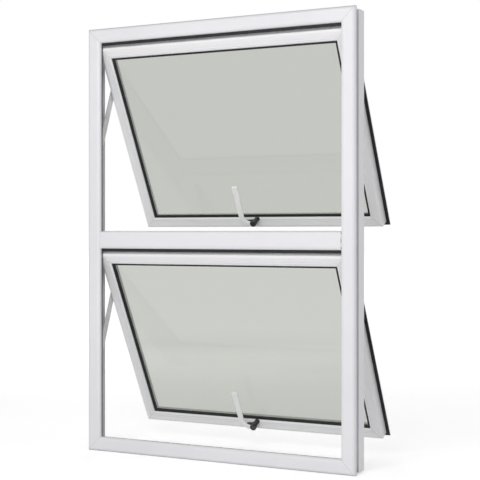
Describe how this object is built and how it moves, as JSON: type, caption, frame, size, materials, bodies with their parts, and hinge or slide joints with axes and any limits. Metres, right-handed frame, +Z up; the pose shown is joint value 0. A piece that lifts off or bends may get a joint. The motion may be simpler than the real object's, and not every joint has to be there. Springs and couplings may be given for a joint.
{
  "type": "awning window",
  "caption": "White metal awning window with its frame: stacked top-hung lights that swing out on friction stays, with cranked lever handles.",
  "frame": {"origin": "middle of the flat underside of the sill's rear body, the face the window stands on in its opening", "axes": "X along the width, to the right seen from the room; +Y out of the room; +Z up"},
  "size_m": [0.82, 0.3119, 1.2],
  "materials": {
    "frame_paint": "satin white powder coat",
    "sash_paint": "satin white powder coat",
    "bead_paint": "satin white powder coat",
    "glass": "pale grey-green float glass",
    "gasket_rubber": "matt black rubber",
    "stay_steel": "brushed stainless steel",
    "screw_steel": "plain steel",
    "key_alloy": "mill finish",
    "handle_black": "satin black",
    "handle_white": "satin white",
    "shoe_nylon": "moulded"
  },
  "bodies": {
    "frame": {"head": "frame_paint", "sill": "frame_paint", "left_jamb": "frame_paint", "right_jamb": "frame_paint", "middle_rail": "frame_paint", "frame_corner_keys": "key_alloy", "frame_screws": "screw_steel", "upper_frame_gasket": "gasket_rubber", "lower_frame_gasket": "gasket_rubber", "upper_left_track": "stay_steel", "upper_right_track": "stay_steel", "lower_left_track": "stay_steel", "lower_right_track": "stay_steel"},
    "upper_left_arm": {"upper_left_arm": "stay_steel"},
    "upper_sash": {"upper_top_rail": "sash_paint", "upper_bottom_rail": "sash_paint", "upper_left_stile": "sash_paint", "upper_right_stile": "sash_paint", "upper_corner_keys": "key_alloy", "upper_weather_seal": "gasket_rubber", "upper_glass": "glass", "upper_inner_gasket": "gasket_rubber", "upper_outer_gasket": "gasket_rubber", "upper_top_bead": "bead_paint", "upper_bottom_bead": "bead_paint", "upper_left_bead": "bead_paint", "upper_right_bead": "bead_paint", "upper_left_bar": "stay_steel", "upper_right_bar": "stay_steel", "upper_sash_screws": "screw_steel", "upper_handle_base": "handle_black"},
    "upper_right_arm": {"upper_right_arm": "stay_steel"},
    "upper_left_shoe": {"upper_left_shoe": "shoe_nylon"},
    "upper_right_shoe": {"upper_right_shoe": "shoe_nylon"},
    "upper_handle": {"upper_handle_tongue": "handle_black", "upper_handle_lever": "handle_white"},
    "lower_left_arm": {"lower_left_arm": "stay_steel"},
    "lower_sash": {"lower_top_rail": "sash_paint", "lower_bottom_rail": "sash_paint", "lower_left_stile": "sash_paint", "lower_right_stile": "sash_paint", "lower_corner_keys": "key_alloy", "lower_weather_seal": "gasket_rubber", "lower_glass": "glass", "lower_inner_gasket": "gasket_rubber", "lower_outer_gasket": "gasket_rubber", "lower_top_bead": "bead_paint", "lower_bottom_bead": "bead_paint", "lower_left_bead": "bead_paint", "lower_right_bead": "bead_paint", "lower_left_bar": "stay_steel", "lower_right_bar": "stay_steel", "lower_sash_screws": "screw_steel", "lower_handle_base": "handle_black"},
    "lower_right_arm": {"lower_right_arm": "stay_steel"},
    "lower_left_shoe": {"lower_left_shoe": "shoe_nylon"},
    "lower_right_shoe": {"lower_right_shoe": "shoe_nylon"},
    "lower_handle": {"lower_handle_tongue": "handle_black", "lower_handle_lever": "handle_white"}
  },
  "joints": [
    {"name": "upper_left_arm_swing", "type": "hinge", "parent": "frame", "child": "upper_left_arm", "pos_m": [-0.386, -0.0347, 0.84075], "axis": [-1, 0, 0], "range_deg": [-17.58, 8]},
    {"name": "upper_right_arm_swing", "type": "hinge", "parent": "frame", "child": "upper_right_arm", "pos_m": [0.386, -0.0347, 0.84075], "axis": [-1, 0, 0], "range_deg": [-17.58, 8]},
    {"name": "upper_sash_swing", "type": "hinge", "parent": "upper_left_arm", "child": "upper_sash", "pos_m": [-0.383, 0.03449, 1.02627], "axis": [1, 0, 0], "range_deg": [-45.06, 20.48]},
    {"name": "upper_left_shoe_turn", "type": "hinge", "parent": "upper_sash", "child": "upper_left_shoe", "pos_m": [-0.385, -0.02462, 1.13981], "axis": [-1, 0, 0], "range_deg": [-27.55, 12.55]},
    {"name": "upper_right_shoe_turn", "type": "hinge", "parent": "upper_sash", "child": "upper_right_shoe", "pos_m": [0.385, -0.02462, 1.13981], "axis": [-1, 0, 0], "range_deg": [-27.55, 12.55]},
    {"name": "upper_handle_turn", "type": "hinge", "parent": "upper_sash", "child": "upper_handle", "pos_m": [0, 0.20878, 0.65681], "axis": [0, -0.887, -0.4617], "range_deg": [0, 90]},
    {"name": "lower_left_arm_swing", "type": "hinge", "parent": "frame", "child": "lower_left_arm", "pos_m": [-0.386, -0.0347, 0.25575], "axis": [-1, 0, 0], "range_deg": [-17.58, 8]},
    {"name": "lower_right_arm_swing", "type": "hinge", "parent": "frame", "child": "lower_right_arm", "pos_m": [0.386, -0.0347, 0.25575], "axis": [-1, 0, 0], "range_deg": [-17.58, 8]},
    {"name": "lower_sash_swing", "type": "hinge", "parent": "lower_left_arm", "child": "lower_sash", "pos_m": [-0.383, 0.03449, 0.44127], "axis": [1, 0, 0], "range_deg": [-45.06, 20.48]},
    {"name": "lower_left_shoe_turn", "type": "hinge", "parent": "lower_sash", "child": "lower_left_shoe", "pos_m": [-0.385, -0.02462, 0.55481], "axis": [-1, 0, 0], "range_deg": [-27.55, 12.55]},
    {"name": "lower_right_shoe_turn", "type": "hinge", "parent": "lower_sash", "child": "lower_right_shoe", "pos_m": [0.385, -0.02462, 0.55481], "axis": [-1, 0, 0], "range_deg": [-27.55, 12.55]},
    {"name": "lower_handle_turn", "type": "hinge", "parent": "lower_sash", "child": "lower_handle", "pos_m": [0, 0.20878, 0.07181], "axis": [0, -0.887, -0.4617], "range_deg": [0, 90]}
  ],
  "couplings": [
    {"joint": "upper_left_arm_swing", "follows": "upper_sash_swing", "ratio": 0.38966},
    {"joint": "upper_left_shoe_turn", "follows": "upper_sash_swing", "ratio": 0.61034},
    {"joint": "upper_right_arm_swing", "follows": "upper_sash_swing", "ratio": 0.38966},
    {"joint": "upper_right_shoe_turn", "follows": "upper_sash_swing", "ratio": 0.61034},
    {"joint": "lower_left_arm_swing", "follows": "lower_sash_swing", "ratio": 0.38966},
    {"joint": "lower_left_shoe_turn", "follows": "lower_sash_swing", "ratio": 0.61034},
    {"joint": "lower_right_arm_swing", "follows": "lower_sash_swing", "ratio": 0.38966},
    {"joint": "lower_right_shoe_turn", "follows": "lower_sash_swing", "ratio": 0.61034}
  ]
}
